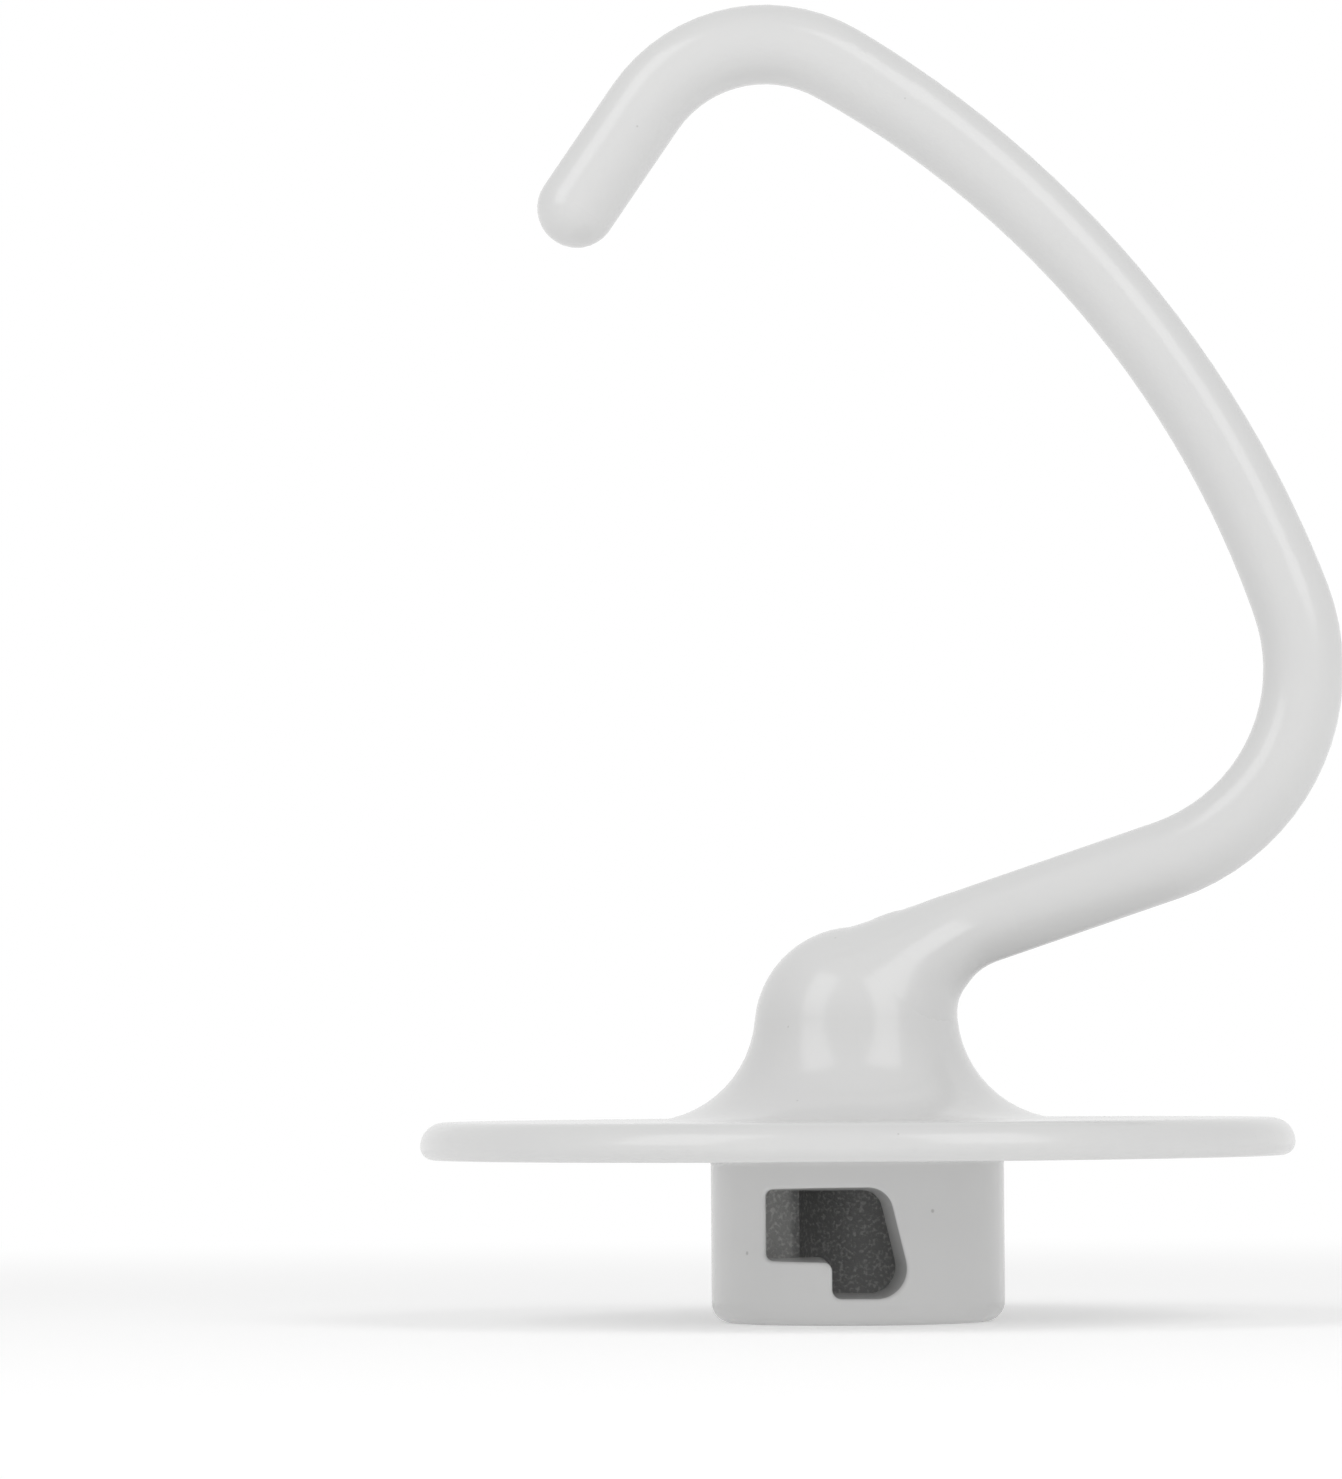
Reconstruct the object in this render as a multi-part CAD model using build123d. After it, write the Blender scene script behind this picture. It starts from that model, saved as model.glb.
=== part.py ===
from build123d import *
import os
from math import acos, atan2, cos, degrees, radians, sin, sqrt, tan

# Dough hook for a stand mixer: one light alloy casting with a white coat outside.
# The hub slides over a round drive shaft. A pin that stands out of the shaft enters by the keyway
# in the hub's end, turns along the window's channel and drops back into the notch.
# A round shield closes the hub, a neck stands on the shield, and the bent arm leaves the neck.
#
# Frame, in millimetres: the origin is on the hub's axis, at its open end face. Z runs up the axis
# towards the hook, the arm lies in the XZ plane, and the window looks towards -Y.

# Drive shaft and pin that the hub fits
SHAFT_DIAMETER = 12.7
SHAFT_CLEARANCE = 0.25
PIN_DIAMETER = 7.0
PIN_STANDOUT = 6.1
PIN_CLEARANCE = 0.55

# Hub: the wall below the notch, the notch, the channel for the pin and the wall above it
HUB_DIAMETER = 32.2
NOTCH_WALL = 2.9
NOTCH_DEPTH = 3.9
ROOF_WALL = 3.1
HUB_END_ROUND = 2.2
HUB_ROOT_FILLET = 0.8
BORE_ABOVE_SHIELD = 8.0

# Window in the hub's wall, and the keyway that leads to it from the end face
SEAT_ANGLE = 4.6
KEYWAY_ANGLE = 65.0
CHANNEL_REACH = 11.05
SEAT_WALL_LEAN = 13.9
ROOF_CORNER = 2.7
FLOOR_CORNER = 3.3
NOTCH_CORNER = 1.0
LEDGE_CORNER = 0.9
CHANNEL_CORNER = 1.0
WINDOW_DRAFT = 2.5
WINDOW_EDGE_ROUND = 0.35

# Shield
SHIELD_DIAMETER = 96.0
SHIELD_THICKNESS = 4.1
RIM_UPPER_ROUND = 2.65

# Neck: a flare rises from the shield into a round crown, and a bend slims from the crown into the arm.
# The bend is bounded by the arm's upper line and by the throat, a round hollow under the arm.
# It starts a little above the flare. Its steps are shares of the way back from its end to its start
CROWN_RADIUS = 11.2
CROWN_CENTRE_HEIGHT = 10.0
FLARE_RADIUS = 12.0
THROAT_RADIUS = 6.4
ARM_TOP_HEIGHT = 21.35
BEND_LIFT_ANGLE = 1.1
BEND_STEPS = (0.65, 0.4, 0.2, 0.0)
CROWN_BLEND_SHARE = 0.3

# Arm: a straight lower arm, the elbow, the long sweep, the crook and the straight tip
ROD_DIAMETER = 8.8
SWEEP_WAIST_DIAMETER = 8.2
ARM_RISE = 18.6
LOWER_ARM_LENGTH = 36.2
ELBOW_RADIUS = 22.3
ELBOW_ANGLE = 91.1
SWEEP_RADIUS = 114.0
SWEEP_ANGLE = 39.8
CROOK_RADIUS = 16.0
CROOK_ANGLE = 86.0
TIP_LENGTH = 13.4

# Sizes that follow from the ones above
rod_radius = ROD_DIAMETER / 2
hub_radius = HUB_DIAMETER / 2
bore_radius = SHAFT_DIAMETER / 2 + SHAFT_CLEARANCE
pin_passage = PIN_DIAMETER + 2 * PIN_CLEARANCE
keyway_reach = SHAFT_DIAMETER / 2 + PIN_STANDOUT + SHAFT_CLEARANCE
ledge_height = NOTCH_WALL + NOTCH_DEPTH
roof_height = ledge_height + pin_passage
hub_length = roof_height + ROOF_WALL
shield_top = hub_length + SHIELD_THICKNESS
crown_height = shield_top + CROWN_CENTRE_HEIGHT
flare_reach = sqrt((CROWN_RADIUS + FLARE_RADIUS)**2 - (CROWN_CENTRE_HEIGHT - FLARE_RADIUS)**2)
neck_lean = degrees(atan2(FLARE_RADIUS - CROWN_CENTRE_HEIGHT, flare_reach))
rise = radians(ARM_RISE)
arm_height = shield_top + ARM_TOP_HEIGHT - rod_radius / cos(rise)
throat_drop = THROAT_RADIUS + rod_radius
crown_drop = arm_height - crown_height
bend_end = sqrt((CROWN_RADIUS + THROAT_RADIUS)**2 - (throat_drop - crown_drop * cos(rise))**2)
bend_end -= crown_drop * sin(rise)
line_over_crown = (ARM_TOP_HEIGHT - CROWN_CENTRE_HEIGHT) * cos(rise)
bend_top_angle = 90 + ARM_RISE - degrees(acos(min(1, line_over_crown / CROWN_RADIUS)))
bend_start_angle = neck_lean + BEND_LIFT_ANGLE
bend_tilt = radians(bend_top_angle + bend_start_angle) / 2
bend_half_span = radians(bend_top_angle - bend_start_angle) / 2
bend_length = 2 * throat_drop * tan(bend_tilt - rise)


def corner_at(sketch, x, y):
    """The vertex of a flat sketch that lies nearest to a point."""
    return sketch.vertices().sort_by_distance((x, y))[0]


def turned_body():
    """Hub, shield, flare and crown, turned as one solid about the axis."""
    rim_lower_round = SHIELD_THICKNESS - RIM_UPPER_ROUND
    hub_corners = [(hub_radius, 0), (hub_radius, hub_length)]
    shield_edge = SHIELD_DIAMETER / 2 - rim_lower_round
    crown_top = (0, crown_height + CROWN_RADIUS)
    below_rim = Polyline(crown_top, (0, 0), *hub_corners, (shield_edge, hub_length))
    lower_rim = JernArc(below_rim @ 1, (1, 0), rim_lower_round, 90)
    upper_rim = JernArc(lower_rim @ 1, (0, 1), RIM_UPPER_ROUND, 90)
    shield_face = Line(upper_rim @ 1, (flare_reach, shield_top))
    flare = JernArc(shield_face @ 1, (-1, 0), FLARE_RADIUS, neck_lean - 90)
    crown = CenterArc((0, crown_height), CROWN_RADIUS, neck_lean, 90 - neck_lean)
    profile = make_face([*below_rim.edges(), lower_rim, upper_rim, shield_face, flare, crown])
    profile = fillet(corner_at(profile, hub_radius, 0), HUB_END_ROUND)
    profile = fillet(corner_at(profile, hub_radius, hub_length), HUB_ROOT_FILLET)
    return revolve(Plane.XZ * profile, Axis.Z)


def tilted_plane(x, z, angle):
    """A plane across the XZ plane, with its normal at an angle above level."""
    return Plane((x, 0, z), x_dir=(0, 1, 0), z_dir=(cos(angle), 0, sin(angle)))


def bend_start():
    """The plane that parts the bend from the crown, and the radius of the crown's round section there."""
    reach = CROWN_RADIUS * cos(bend_half_span)
    plane = tilted_plane(reach * cos(bend_tilt), crown_height + reach * sin(bend_tilt), bend_tilt)
    return plane, CROWN_RADIUS * sin(bend_half_span)


def bend_section(step):
    """The bend's round section at one of its steps, as its plane, its radius and its slope: the ring where
    the bend wraps a ball that touches the arm's upper line and the throat."""
    back = step * bend_length
    growth = back**2 / (4 * throat_drop)
    ball_radius = rod_radius + growth
    slope = atan2(back, 2 * throat_drop)
    along = bend_end - back
    ball_x = along * cos(rise) + growth * sin(rise)
    ball_z = arm_height + along * sin(rise) - growth * cos(rise)
    shift = ball_radius * sin(slope)
    tilt = rise + slope
    plane = tilted_plane(ball_x + shift * cos(tilt), ball_z + shift * sin(tilt), tilt)
    return plane, ball_radius * cos(slope), slope


def blend_line():
    """The line that eases the crown into the bend, as distances out from the bend's first axis and along it."""
    plane, radius = bend_start()
    next_plane, next_radius, slope = bend_section(BEND_STEPS[0])
    next_along = (next_plane.origin - plane.origin).dot(plane.z_dir)
    headings = [(-cos(bend_half_span), sin(bend_half_span)), (-sin(slope), cos(slope))]
    whole_line = Spline((radius, 0), (next_radius, next_along), tangents=headings)
    return whole_line.trim(0, CROWN_BLEND_SHARE)


def crown_blend():
    """The hollow between the crown and the bend, turned about the bend's first axis."""
    plane = bend_start()[0]
    line = blend_line()
    back_home = Polyline(line @ 1, (0, (line @ 1).Y), (0, 0), line @ 0)
    upright = Plane(plane.origin, x_dir=(-sin(bend_tilt), 0, cos(bend_tilt)), z_dir=(0, 1, 0))
    return revolve(upright * make_face([line, *back_home.edges()]), Axis(plane.origin, plane.z_dir))


def neck_bend():
    """The bend, swept through round sections from the blend to the arm."""
    blend_end = blend_line() @ 1
    first_plane = bend_start()[0].offset(blend_end.Y)
    sections = [first_plane * Circle(blend_end.X)]
    for step in BEND_STEPS:
        plane, radius, slope = bend_section(step)
        sections.append(plane * Circle(radius))
    middles = [section.faces()[0].center() for section in sections]
    spine = Spline(*middles, tangents=[first_plane.z_dir, (cos(rise), 0, sin(rise))])
    return sweep(sections, spine, multisection=True)


def crown_cap():
    """Cutter for the part of the crown that the bend takes over."""
    first_plane, first_radius = bend_start()
    on_plane = (Align.CENTER, Align.CENTER, Align.MIN)
    return first_plane * Cylinder(first_radius * 1.02, CROWN_RADIUS, align=on_plane)


def arm_path():
    """Centre line of the arm, as its five runs from the bend's end to the centre of the tip's round end."""
    heading = (cos(rise), sin(rise))
    from_axis = PolarLine((0, arm_height), bend_end, ARM_RISE)
    lower_arm = PolarLine(from_axis @ 1, LOWER_ARM_LENGTH - bend_end, ARM_RISE)
    elbow = JernArc(lower_arm @ 1, heading, ELBOW_RADIUS, ELBOW_ANGLE)
    long_sweep = JernArc(elbow @ 1, elbow % 1, SWEEP_RADIUS, SWEEP_ANGLE)
    crook = JernArc(long_sweep @ 1, long_sweep % 1, CROOK_RADIUS, CROOK_ANGLE)
    tip = Line(crook @ 1, crook @ 1 + crook % 1 * TIP_LENGTH)
    return [Plane.XZ * run for run in (lower_arm, elbow, long_sweep, crook, tip)]


def section_on(run, place, diameter):
    """A round section across a run of the arm, at a place from 0 to 1 along it."""
    return Plane(run @ place, x_dir=(0, 1, 0), z_dir=run % place) * Circle(diameter / 2)


def arm():
    """The rod: even all along, apart from the long sweep, which slims towards its middle."""
    lower_arm, elbow, long_sweep, crook, tip = arm_path()
    rod = sweep(section_on(lower_arm, 0, ROD_DIAMETER), Wire([lower_arm, elbow]))
    waist = [section_on(long_sweep, 0, ROD_DIAMETER)]
    waist.append(section_on(long_sweep, 0.5, SWEEP_WAIST_DIAMETER))
    waist.append(section_on(long_sweep, 1, ROD_DIAMETER))
    rod += sweep(waist, long_sweep, multisection=True)
    rod += sweep(section_on(crook, 0, ROD_DIAMETER), Wire([crook, tip]))
    return rod + Pos(tip @ 1) * Sphere(rod_radius)


def window():
    """Cutter for the window: a channel for the pin that ends in a notch, cut along the pin's own direction."""
    half = pin_passage / 2
    lean = tan(radians(SEAT_WALL_LEAN))
    floor_end = half + lean * NOTCH_DEPTH
    roof_end = half - lean * pin_passage
    corners = [(-CHANNEL_REACH, ledge_height), (-half, ledge_height), (-half, NOTCH_WALL)]
    corners += [(floor_end, NOTCH_WALL), (roof_end, roof_height), (-CHANNEL_REACH, roof_height)]
    outline = make_face(Polyline(*corners, close=True))
    outline = fillet(corner_at(outline, -half, ledge_height), LEDGE_CORNER)
    outline = fillet(corner_at(outline, -half, NOTCH_WALL), NOTCH_CORNER)
    outline = fillet(corner_at(outline, floor_end, NOTCH_WALL), FLOOR_CORNER)
    outline = fillet(corner_at(outline, roof_end, roof_height), ROOF_CORNER)
    outline = fillet(corner_at(outline, -CHANNEL_REACH, roof_height), CHANNEL_CORNER)
    outline = fillet(corner_at(outline, -CHANNEL_REACH, ledge_height), CHANNEL_CORNER)
    inside_bore = bore_radius / 2
    inner_outline = offset(outline, (inside_bore - hub_radius) * tan(radians(WINDOW_DRAFT)))
    across = Plane((0, 0, 0), x_dir=(1, 0, 0), z_dir=(0, -1, 0)).offset(inside_bore)
    return Rot(0, 0, SEAT_ANGLE) * extrude(across * inner_outline, hub_radius, taper=-WINDOW_DRAFT)


def socket():
    """Cutter for the hub's inside: the shaft's bore, the pin's keyway and the window."""
    on_end = (Align.CENTER, Align.CENTER, Align.MIN)
    bore = Cylinder(bore_radius, shield_top + BORE_ABOVE_SHIELD, align=on_end)
    keyway = Box(keyway_reach, pin_passage, roof_height, align=(Align.MIN, Align.CENTER, Align.MIN))
    keyway &= Cylinder(keyway_reach, roof_height, align=on_end)
    return bore + Rot(0, 0, 270 - KEYWAY_ANGLE) * keyway + window()


def dough_hook():
    """The whole casting, with the window's outer edge rounded."""
    casting = turned_body() - crown_cap() + crown_blend() + neck_bend() + arm() - socket()
    hub_wall = [face for face in casting.faces().filter_by(GeomType.CYLINDER) if face.inner_wires()][0]
    return fillet(hub_wall.inner_wires()[0].edges(), WINDOW_EDGE_ROUND)


os.makedirs("parts", exist_ok=True)
export_step(dough_hook(), "parts/dough_hook.step")
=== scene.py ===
import math

import bpy
from mathutils import Matrix, Vector


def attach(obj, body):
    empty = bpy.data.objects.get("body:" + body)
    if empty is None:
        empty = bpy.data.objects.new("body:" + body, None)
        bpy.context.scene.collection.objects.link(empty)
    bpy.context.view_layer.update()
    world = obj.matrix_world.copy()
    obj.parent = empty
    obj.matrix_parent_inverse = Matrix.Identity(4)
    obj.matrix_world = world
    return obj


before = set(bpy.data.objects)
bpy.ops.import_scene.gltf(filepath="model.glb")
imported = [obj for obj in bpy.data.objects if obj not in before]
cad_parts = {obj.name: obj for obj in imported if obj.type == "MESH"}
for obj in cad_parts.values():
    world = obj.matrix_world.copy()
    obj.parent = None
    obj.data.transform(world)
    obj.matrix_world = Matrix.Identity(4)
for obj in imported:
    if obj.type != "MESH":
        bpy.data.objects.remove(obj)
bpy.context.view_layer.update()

MM = 0.001
WHITE = (1, 1, 1, 1)

# Sockets of a Mix node that share a name: its two plain values, its two colours and the mixed colour
FIRST_VALUE = 2
SECOND_VALUE = 3
FIRST_COLOUR = 6
SECOND_COLOUR = 7
MIXED_COLOUR = 2


def linear(hex_colour):
    """An sRGB hex colour as linear red, green, blue and alpha."""
    levels = [int(hex_colour[i:i + 2], 16) / 255 for i in (1, 3, 5)]
    curve = [v / 12.92 if v <= 0.04045 else ((v + 0.055) / 1.055) ** 2.4 for v in levels]
    return (*curve, 1.0)


def node(tree, kind, links=None, **settings):
    """Adds a shader node. Settings are its attributes, and links give its inputs a value or another node's
    output."""
    made = tree.nodes.new(kind)
    for name, value in settings.items():
        setattr(made, name, value)
    for name, value in (links or {}).items():
        if isinstance(value, bpy.types.NodeSocket):
            tree.links.new(value, made.inputs[name])
        else:
            made.inputs[name].default_value = value
    return made


def new_material(name):
    """An empty node material: its tree and its Principled shader."""
    material = bpy.data.materials.new(name)
    material.use_nodes = True
    tree = material.node_tree
    tree.nodes.clear()
    shader = node(tree, "ShaderNodeBsdfPrincipled")
    node(tree, "ShaderNodeOutputMaterial", {"Surface": shader.outputs["BSDF"]})
    return material, tree, shader


def seen_directly(tree):
    """A value that is 1 for rays from the camera, off a gloss or through glass, and 0 for light."""
    rays = node(tree, "ShaderNodeLightPath").outputs
    pair = {0: rays["Is Camera Ray"], 1: rays["Is Glossy Ray"]}
    seen = node(tree, "ShaderNodeMath", pair, operation="MAXIMUM")
    pair = {0: seen.outputs[0], 1: rays["Is Transmission Ray"]}
    return node(tree, "ShaderNodeMath", pair, operation="MAXIMUM").outputs[0]


# Finish of the casting: white nylon powder coat, smooth and fairly glossy, with a faint orange peel.
# The bore and the keyway are left as cast: dull grey aluminium with light grains
coated_casting, tree, shader = new_material("white_nylon_coat_on_cast_aluminium")
place = node(tree, "ShaderNodeTexCoord").outputs["Object"]

# Where the coat ends: a ragged edge where the window opens into the bore and the keyway
BARE_BORE_RADIUS_MM = 7.1
BARE_KEYWAY_RADIUS_MM = 14.0
BARE_BEHIND_MM = -5.5
BARE_FROM_MM = 0.9
KEYWAY_TOP_MM = 16.5
BORE_TOP_MM = 30.5
RAGGED_GRAIN_MM = 1.3
RAGGED_DEPTH_MM = 1.2
EDGE_BLUR_MM = 0.35
ragged = node(tree, "ShaderNodeTexNoise", {"Vector": place, "Detail": 2.0})
ragged.inputs["Scale"].default_value = 1 / (RAGGED_GRAIN_MM * MM)
stray = node(tree, "ShaderNodeVectorMath", {0: ragged.outputs["Color"]}, operation="SUBTRACT")
stray.inputs[1].default_value = (0.5, 0.5, 0.5)
ragged_place = node(tree, "ShaderNodeVectorMath", {0: stray.outputs[0], 2: place}, operation="MULTIPLY_ADD")
ragged_place.inputs[1].default_value = (RAGGED_DEPTH_MM * MM,) * 3
level_place = node(tree, "ShaderNodeVectorMath", {0: ragged_place.outputs[0]}, operation="MULTIPLY")
level_place.inputs[1].default_value = (1, 1, 0)
from_axis = node(tree, "ShaderNodeVectorMath", {0: level_place.outputs[0]}, operation="LENGTH")
from_axis = from_axis.outputs["Value"]
ragged_xyz = node(tree, "ShaderNodeSeparateXYZ", {"Vector": ragged_place.outputs[0]}).outputs
behind = node(tree, "ShaderNodeMath", {0: ragged_xyz["Y"], 1: BARE_BEHIND_MM * MM}, operation="GREATER_THAN")
below_roof = node(tree, "ShaderNodeMath", {0: ragged_xyz["Z"], 1: KEYWAY_TOP_MM * MM}, operation="LESS_THAN")
keyway = node(tree, "ShaderNodeMath", {0: behind.outputs[0], 1: below_roof.outputs[0]}, operation="MULTIPLY")
bare_radius = node(tree, "ShaderNodeMath", {0: keyway.outputs[0]}, operation="MULTIPLY_ADD")
bare_radius.inputs[1].default_value = (BARE_KEYWAY_RADIUS_MM - BARE_BORE_RADIUS_MM) * MM
bare_radius.inputs[2].default_value = BARE_BORE_RADIUS_MM * MM
inside = node(tree, "ShaderNodeMath", {0: bare_radius.outputs[0], 1: from_axis}, operation="SUBTRACT")
bare = node(tree, "ShaderNodeMath", {0: inside.outputs[0], 1: EDGE_BLUR_MM * MM}, operation="DIVIDE")
bare.use_clamp = True
above_end = node(tree, "ShaderNodeMath", {0: ragged_xyz["Z"], 1: BARE_FROM_MM * MM}, operation="GREATER_THAN")
below_top = node(tree, "ShaderNodeMath", {0: ragged_xyz["Z"], 1: BORE_TOP_MM * MM}, operation="LESS_THAN")
for limit in (above_end, below_top):
    bare = node(tree, "ShaderNodeMath", {0: bare.outputs[0], 1: limit.outputs[0]}, operation="MULTIPLY")
bare = bare.outputs[0]

# Coat colour: a neutral white that drifts a little from place to place
COAT_LIGHT = "#DEDEDD"
COAT_DARK = "#D9D9D9"
COAT_DRIFT_MM = 14.0
drift = node(tree, "ShaderNodeTexNoise", {"Vector": place, "Scale": 1 / (COAT_DRIFT_MM * MM), "Detail": 3.0})
clean_coat = node(tree, "ShaderNodeMix", {"Factor": drift.outputs["Fac"]}, data_type="RGBA")
clean_coat.inputs[FIRST_COLOUR].default_value = linear(COAT_LIGHT)
clean_coat.inputs[SECOND_COLOUR].default_value = linear(COAT_DARK)

# Specks in the coat: small dark pinholes at the places where they show, and fainter ones.
# On the far side they are scattered, and on the near side the scatter is moved a metre off
SPECK_COLOUR = "#6E6C69"
SPECK_CORE_MM = 0.12
SPECK_EDGE_MM = 0.27
SPECK_STRENGTH = 0.35
FAINT_STEP_MM = 0.11
SPECK_SPACING_MM = 9.0
SPECK_PLACES_MM = [
    (-12.0, -10.7, 7.8),
    (8.1, -13.9, 12.3),
]
FAINT_SPECK_PLACES_MM = [
    (6.2, -4.3, 134.3),
    (-23.3, -4.3, 131.5),
    (4.3, -47.4, 20.9),
    (-6.4, -14.9, 24.3),
    (-7.4, -8.5, 32.3),
    (-2.2, -4.7, 42.0),
]
scattered = node(tree, "ShaderNodeTexVoronoi", {"Vector": place, "Scale": 1 / (SPECK_SPACING_MM * MM)})
depth = node(tree, "ShaderNodeSeparateXYZ", {"Vector": place}).outputs["Y"]
near_side = node(tree, "ShaderNodeMath", {0: depth, 1: 0.0}, operation="LESS_THAN")
away = node(tree, "ShaderNodeMath", {0: scattered.outputs["Distance"]}, operation="MULTIPLY_ADD")
away.inputs[1].default_value = SPECK_SPACING_MM * MM
tree.links.new(near_side.outputs[0], away.inputs[2])
for spot in FAINT_SPECK_PLACES_MM:
    apart = node(tree, "ShaderNodeVectorMath", {0: place, 1: Vector(spot) * MM}, operation="DISTANCE")
    away = node(tree, "ShaderNodeMath", {0: away.outputs[0], 1: apart.outputs["Value"]}, operation="MINIMUM")
away = node(tree, "ShaderNodeMath", {0: away.outputs[0], 1: FAINT_STEP_MM * MM}, operation="ADD")
for spot in SPECK_PLACES_MM:
    apart = node(tree, "ShaderNodeVectorMath", {0: place, 1: Vector(spot) * MM}, operation="DISTANCE")
    away = node(tree, "ShaderNodeMath", {0: away.outputs[0], 1: apart.outputs["Value"]}, operation="MINIMUM")
speck = node(tree, "ShaderNodeMapRange", {"Value": away.outputs[0]})
speck.inputs["From Min"].default_value = SPECK_EDGE_MM * MM
speck.inputs["From Max"].default_value = SPECK_CORE_MM * MM
speck.inputs["To Max"].default_value = SPECK_STRENGTH
coat = node(tree, "ShaderNodeMix", {"Factor": speck.outputs["Result"]}, data_type="RGBA")
tree.links.new(clean_coat.outputs[MIXED_COLOUR], coat.inputs[FIRST_COLOUR])
coat.inputs[SECOND_COLOUR].default_value = linear(SPECK_COLOUR)

# Bare metal colour: dull grey with light grains, painted shade in the bore and painted light on the keyway
# wall
METAL_PAINTED_SHADE = "#9E9E9E"
METAL_LIGHT = "#EAEAE8"
GRAIN_MM = 0.4
GRAIN_LIGHT_FROM = 0.5
GRAIN_LIGHT_TO = 0.68
GRAIN_LIGHT_SHARE = 0.5
PAINTED_SHADE_TO_MM = 6.9
PAINTED_LIGHT_FROM_MM = 7.6
PAINTED_LIGHT_SHARE = 0.5
grain = node(tree, "ShaderNodeTexNoise", {"Vector": place, "Scale": 1 / (GRAIN_MM * MM), "Detail": 3.0})
grain_light = node(tree, "ShaderNodeMapRange", {"Value": grain.outputs["Fac"]})
grain_light.inputs["From Min"].default_value = GRAIN_LIGHT_FROM
grain_light.inputs["From Max"].default_value = GRAIN_LIGHT_TO
grain_light.inputs["To Max"].default_value = GRAIN_LIGHT_SHARE
# Painted shade and light by distance from the axis: darkest in the bore, lighter out at the keyway wall
keyway_painted_light = node(tree, "ShaderNodeMapRange", {"Value": from_axis})
keyway_painted_light.inputs["From Min"].default_value = PAINTED_SHADE_TO_MM * MM
keyway_painted_light.inputs["From Max"].default_value = PAINTED_LIGHT_FROM_MM * MM
keyway_painted_light.inputs["To Max"].default_value = PAINTED_LIGHT_SHARE
metal_light = node(tree, "ShaderNodeMath", {0: grain_light.outputs["Result"], 1: keyway_painted_light.outputs["Result"]})
metal = node(tree, "ShaderNodeMix", {"Factor": metal_light.outputs[0]}, data_type="RGBA")
metal.inputs[FIRST_COLOUR].default_value = linear(METAL_PAINTED_SHADE)
metal.inputs[SECOND_COLOUR].default_value = linear(METAL_LIGHT)

# Coat and metal together: the bare metal is rougher than the coat, and half metallic because it is so dull
METAL_SHINE = 0.5
COAT_ROUGHNESS = 0.2
METAL_ROUGHNESS = 0.62
colour = node(tree, "ShaderNodeMix", {"Factor": bare}, data_type="RGBA")
tree.links.new(coat.outputs[MIXED_COLOUR], colour.inputs[FIRST_COLOUR])
tree.links.new(metal.outputs[MIXED_COLOUR], colour.inputs[SECOND_COLOUR])
tree.links.new(colour.outputs[MIXED_COLOUR], shader.inputs["Base Color"])
metallic = node(tree, "ShaderNodeMath", {0: bare, 1: METAL_SHINE}, operation="MULTIPLY")
tree.links.new(metallic.outputs[0], shader.inputs["Metallic"])
roughness = node(tree, "ShaderNodeMapRange", {"Value": bare})
roughness.inputs["To Min"].default_value = COAT_ROUGHNESS
roughness.inputs["To Max"].default_value = METAL_ROUGHNESS
tree.links.new(roughness.outputs["Result"], shader.inputs["Roughness"])

# Surface: orange peel in the coat, coarse cast grain in the bare metal
PEEL_MM = 2.2
PEEL_DEPTH_MM = 0.008
GRAIN_DEPTH_MM = 0.08
peel = node(tree, "ShaderNodeTexNoise", {"Vector": place, "Scale": 1 / (PEEL_MM * MM), "Detail": 1.0})
relief = node(tree, "ShaderNodeMix", {"Factor": bare})
for noise, depth_mm, side in ((peel, PEEL_DEPTH_MM, FIRST_VALUE), (grain, GRAIN_DEPTH_MM, SECOND_VALUE)):
    height = node(tree, "ShaderNodeMath", {0: noise.outputs["Fac"], 1: depth_mm}, operation="MULTIPLY")
    tree.links.new(height.outputs[0], relief.inputs[side])
bump = node(tree, "ShaderNodeBump", {"Height": relief.outputs[0], "Distance": MM})
tree.links.new(bump.outputs["Normal"], shader.inputs["Normal"])

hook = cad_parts["dough_hook"]
hook.data.materials.clear()
hook.data.materials.append(coated_casting)


# Arm root: where the rod leaves the crown the casting is deeper than it is high, and slims into the rod.
# Its rings follow the solid from the round crown through the bend to the straight rod, just under the upper
# and lower lines. The bend is bounded by the rod's upper line and by the throat, a round hollow under the arm
CROWN_RADIUS_MM = 11.2
CROWN_CENTRE_MM = 32.1
CROWN_RING_TILT = 49.24
BEND_START_MM = 8.17
BEND_END_MM = 14.89
THROAT_RADIUS_MM = 6.4
BLEND_HOLLOW_MM = 0.44
ROD_RADIUS_MM = 4.4
ROD_RISE = 18.6
ROD_AXIS_MM = 38.81
SKIN_INSET_MM = 0.03
RING_POINTS = 48
SMOOTHING_LEVELS = 2


def heading(angle):
    """The direction at an angle above level, as x and z."""
    return Vector((math.cos(math.radians(angle)), math.sin(math.radians(angle))))


def crown_ring(reach):
    """A round section of the crown, at a distance from its centre: its middle, tilt and radius."""
    middle = Vector((0, CROWN_CENTRE_MM)) + reach * heading(CROWN_RING_TILT)
    return middle, CROWN_RING_TILT, math.sqrt(CROWN_RADIUS_MM**2 - reach**2)


def bend_ring(back):
    """A round section of the bend, at a distance back from its end, or of the rod past that: the ring where
    the bend wraps a ball that touches the rod's upper line and the throat."""
    in_bend = max(back, 0)
    throat_drop = THROAT_RADIUS_MM + ROD_RADIUS_MM
    growth = in_bend**2 / (4 * throat_drop)
    slope = math.atan2(in_bend, 2 * throat_drop)
    ball_radius = ROD_RADIUS_MM + growth
    on_axis = Vector((0, ROD_AXIS_MM)) + (BEND_END_MM - back) * heading(ROD_RISE)
    ball = on_axis + growth * heading(ROD_RISE - 90)
    tilt = ROD_RISE + math.degrees(slope)
    return ball + ball_radius * math.sin(slope) * heading(tilt), tilt, ball_radius * math.cos(slope)


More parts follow.
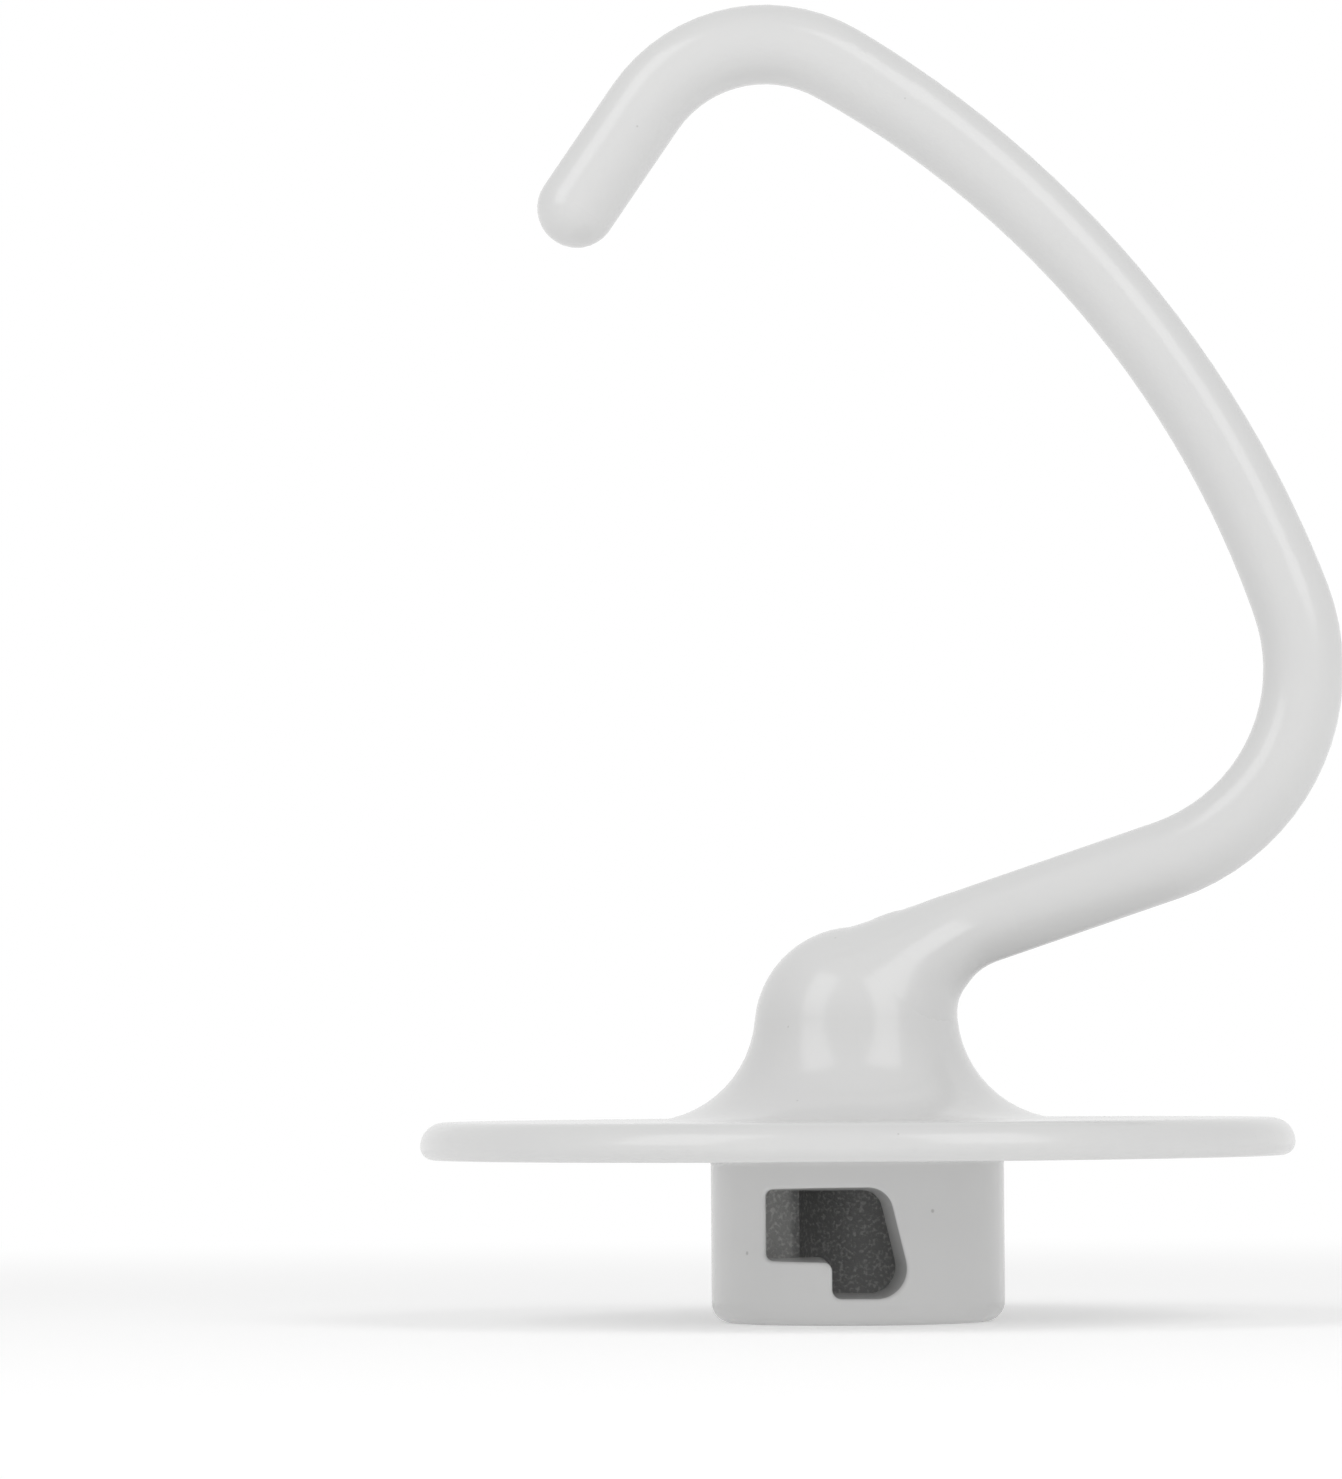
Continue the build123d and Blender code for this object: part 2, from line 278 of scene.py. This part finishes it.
def blend_ring(before, after):
    """A section halfway between two others, hollowed on the throat's side."""
    middle, tilt, radius = [(first + second) / 2 for first, second in zip(before, after)]
    return middle + BLEND_HOLLOW_MM / 2 * heading(tilt + 90), tilt, radius - BLEND_HOLLOW_MM / 2


# Each ring with the share by which it is deeper than high, and the height in mm of its crests front and back
arm_root_rings = [
    (crown_ring(3.0), 0.0, 0.0),
    (crown_ring(4.73), 0.0, 0.0),
    (crown_ring(6.4), 0.02, 0.02),
    (crown_ring(BEND_START_MM), 0.115, 0.08),
    (blend_ring(crown_ring(BEND_START_MM), bend_ring(8.3)), 0.19, 0.12),
    (bend_ring(8.3), 0.194, 0.12),
    (bend_ring(5.1), 0.16, 0.10),
    (bend_ring(2.55), 0.10, 0.04),
    (bend_ring(0.0), 0.04, 0.0),
    (bend_ring(-3.0), 0.01, 0.0),
    (bend_ring(-6.0), 0.0, 0.0),
]
bpy.ops.object.select_all(action="DESELECT")
rings = []
for (middle, tilt, radius), deepening, crest in arm_root_rings:
    half_height = radius - SKIN_INSET_MM
    half_depth = half_height * (1 + deepening)
    bpy.ops.mesh.primitive_circle_add(vertices=RING_POINTS, radius=MM)
    ring = bpy.context.object
    ring.location = Vector((middle.x, 0, middle.y)) * MM
    ring.rotation_euler = (0, math.radians(90 - tilt), 0)
    ring.scale = (half_height, half_depth, 1)
    for point in (0, RING_POINTS // 2):
        ring.data.vertices[point].co.y *= 1 + crest / half_depth
    rings.append(ring)
for ring in rings:
    ring.select_set(True)
bpy.ops.object.transform_apply(location=True, rotation=True, scale=True)
bpy.ops.object.join()
arm_root = bpy.context.object
arm_root.name = "arm_root"
bpy.ops.object.mode_set(mode="EDIT")
bpy.ops.mesh.select_all(action="SELECT")
bpy.ops.mesh.bridge_edge_loops()
bpy.ops.mesh.select_all(action="SELECT")
bpy.ops.mesh.fill_holes(sides=0)
bpy.ops.mesh.select_all(action="SELECT")
bpy.ops.mesh.normals_make_consistent(inside=False)
bpy.ops.object.mode_set(mode="OBJECT")
smoothing = arm_root.modifiers.new("smoothing", "SUBSURF")
smoothing.levels = SMOOTHING_LEVELS
smoothing.render_levels = SMOOTHING_LEVELS
bpy.ops.object.modifier_apply(modifier=smoothing.name)
bpy.ops.object.shade_smooth()
arm_root.data.materials.append(coated_casting)
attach(arm_root, "root")


# Shield rim: the solid's own two rounds in finer steps, so that the light runs evenly along the edge.
# Its section has the two rounds on its outer side and dips under the shield's faces on its inner side.
# It is spun about the hub's axis
SHIELD_RADIUS_MM = 48.0
SHIELD_TOP_MM = 22.1
SHIELD_BOTTOM_MM = 18.0
RIM_UPPER_ROUND_MM = 2.65
RIM_HIDDEN_MM = 1.5
RIM_SECTION_POINTS = 48
RIM_STEPS = 240
MERGE_MM = 0.002
rim_lower_round = SHIELD_TOP_MM - SHIELD_BOTTOM_MM - RIM_UPPER_ROUND_MM
seam_height = SHIELD_BOTTOM_MM + rim_lower_round
inner_edge = SHIELD_RADIUS_MM - RIM_UPPER_ROUND_MM - RIM_HIDDEN_MM
bpy.ops.object.select_all(action="DESELECT")
bpy.ops.mesh.primitive_circle_add(vertices=RIM_SECTION_POINTS, radius=1)
shield_rim = bpy.context.object
shield_rim.name = "shield_rim"
for point in shield_rim.data.vertices:
    out, up, _ = point.co
    size = RIM_UPPER_ROUND_MM if up > 0 else rim_lower_round
    centre = SHIELD_RADIUS_MM - size
    reach = size if out > 0 else centre - inner_edge
    point.co = Vector((centre + reach * out, 0, seam_height + size * up)) * MM
bpy.ops.object.mode_set(mode="EDIT")
bpy.ops.mesh.select_all(action="SELECT")
bpy.ops.mesh.spin(steps=RIM_STEPS, angle=2 * math.pi, center=(0, 0, 0), axis=(0, 0, 1))
bpy.ops.mesh.select_all(action="SELECT")
bpy.ops.mesh.remove_doubles(threshold=MERGE_MM * MM)
bpy.ops.mesh.normals_make_consistent(inside=False)
bpy.ops.object.mode_set(mode="OBJECT")
bpy.ops.object.shade_smooth()
shield_rim.data.materials.append(coated_casting)
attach(shield_rim, "root")


# Camera: nearly level, a little above the hub's end, fitted to the photograph's outline
PHOTO_HEIGHT_PX = 1479
SENSOR_MM = 36.0
CAMERA_PLACE_MM = (0.52, -800.0, 27.07)
CAMERA_YAW = -1.4802
CAMERA_PITCH = 2.6487
CAMERA_ROLL = -0.3902
CAMERA_FOCAL_PX = 7267.3

camera_data = bpy.data.cameras.new("camera")
camera_data.sensor_width = SENSOR_MM
camera_data.lens = SENSOR_MM * CAMERA_FOCAL_PX / PHOTO_HEIGHT_PX
camera = bpy.data.objects.new("camera", camera_data)
turn = Matrix.Rotation(math.radians(-CAMERA_YAW), 4, "Z")
turn @= Matrix.Rotation(math.radians(90 + CAMERA_PITCH), 4, "X")
turn @= Matrix.Rotation(math.radians(CAMERA_ROLL), 4, "Z")
camera.matrix_world = Matrix.Translation(Vector(CAMERA_PLACE_MM) * MM) @ turn
bpy.context.scene.collection.objects.link(camera)
bpy.context.scene.camera = camera


# Studio, in metres: two soft boxes, one on each side of the camera, and even white surroundings
BOX_AIM = Vector((0, 0, 0.05))
BOX_DISTANCE = 0.9
ROOM_LIGHT = 0.52


def soft_box(name, azimuth, elevation, size, power):
    """A rectangular soft light that faces the hook. Its azimuth is 0 at the front and grows to the right."""
    lamp = bpy.data.lights.new(name, "AREA")
    lamp.shape = "RECTANGLE"
    lamp.size, lamp.size_y = size
    lamp.energy = power
    light = bpy.data.objects.new(name, lamp)
    turned = math.radians(azimuth)
    raised = math.radians(elevation)
    outward = math.cos(raised) * Vector((math.sin(turned), -math.cos(turned), math.tan(raised)))
    light.location = BOX_AIM + BOX_DISTANCE * outward
    light.rotation_euler = (-outward).to_track_quat("-Z", "Y").to_euler()
    bpy.context.scene.collection.objects.link(light)


soft_box("left_soft_box", azimuth=-52, elevation=36, size=(0.46, 0.74), power=1.85)
soft_box("right_soft_box", azimuth=37, elevation=35, size=(0.46, 0.78), power=2.1)

world = bpy.data.worlds.new("white_studio")
bpy.context.scene.world = world
world.use_nodes = True
tree = world.node_tree
tree.nodes.clear()
strength = node(tree, "ShaderNodeMapRange", {"Value": seen_directly(tree), "To Max": 1.0})
strength.inputs["To Min"].default_value = ROOM_LIGHT
room = node(tree, "ShaderNodeBackground", {"Color": WHITE, "Strength": strength.outputs["Result"]})
node(tree, "ShaderNodeOutputWorld", {"Surface": room.outputs[0]})

# Floor, in metres: white paper, lit and shaded near the hook, that fades into the surroundings further off
FLOOR_SIZE = 12.0
FLOOR_COLOUR = "#F4F4F4"
FLOOR_ROUGHNESS = 0.9
FLOOR_LIGHT = 0.22
FLOOR_SHADED_TO = 0.10
FLOOR_WHITE_FROM = 0.42
bpy.ops.object.select_all(action="DESELECT")
bpy.ops.mesh.primitive_plane_add(size=FLOOR_SIZE, location=(0, 0, 0))
floor = bpy.context.object
floor.name = "floor"
floor_paper, tree, shader = new_material("white_paper_floor")
shader.inputs["Base Color"].default_value = linear(FLOOR_COLOUR)
shader.inputs["Emission Color"].default_value = WHITE
shader.inputs["Emission Strength"].default_value = FLOOR_LIGHT
shader.inputs["Roughness"].default_value = FLOOR_ROUGHNESS
floor_place = node(tree, "ShaderNodeTexCoord").outputs["Object"]
distance = node(tree, "ShaderNodeVectorMath", {0: floor_place}, operation="LENGTH").outputs["Value"]
far = node(tree, "ShaderNodeMapRange", {"Value": distance}, interpolation_type="SMOOTHSTEP")
far.inputs["From Min"].default_value = FLOOR_SHADED_TO
far.inputs["From Max"].default_value = FLOOR_WHITE_FROM
fade = node(tree, "ShaderNodeMath", {0: seen_directly(tree), 1: far.outputs["Result"]}, operation="MULTIPLY")
white = node(tree, "ShaderNodeEmission", {"Color": WHITE, "Strength": 1.0})
paper = node(tree, "ShaderNodeMixShader", {"Fac": fade.outputs[0], 1: shader.outputs["BSDF"]})
tree.links.new(white.outputs[0], paper.inputs[2])
tree.links.new(paper.outputs[0], tree.nodes["Material Output"].inputs["Surface"])
floor.data.materials.append(floor_paper)

bpy.context.scene.view_settings.view_transform = "Standard"
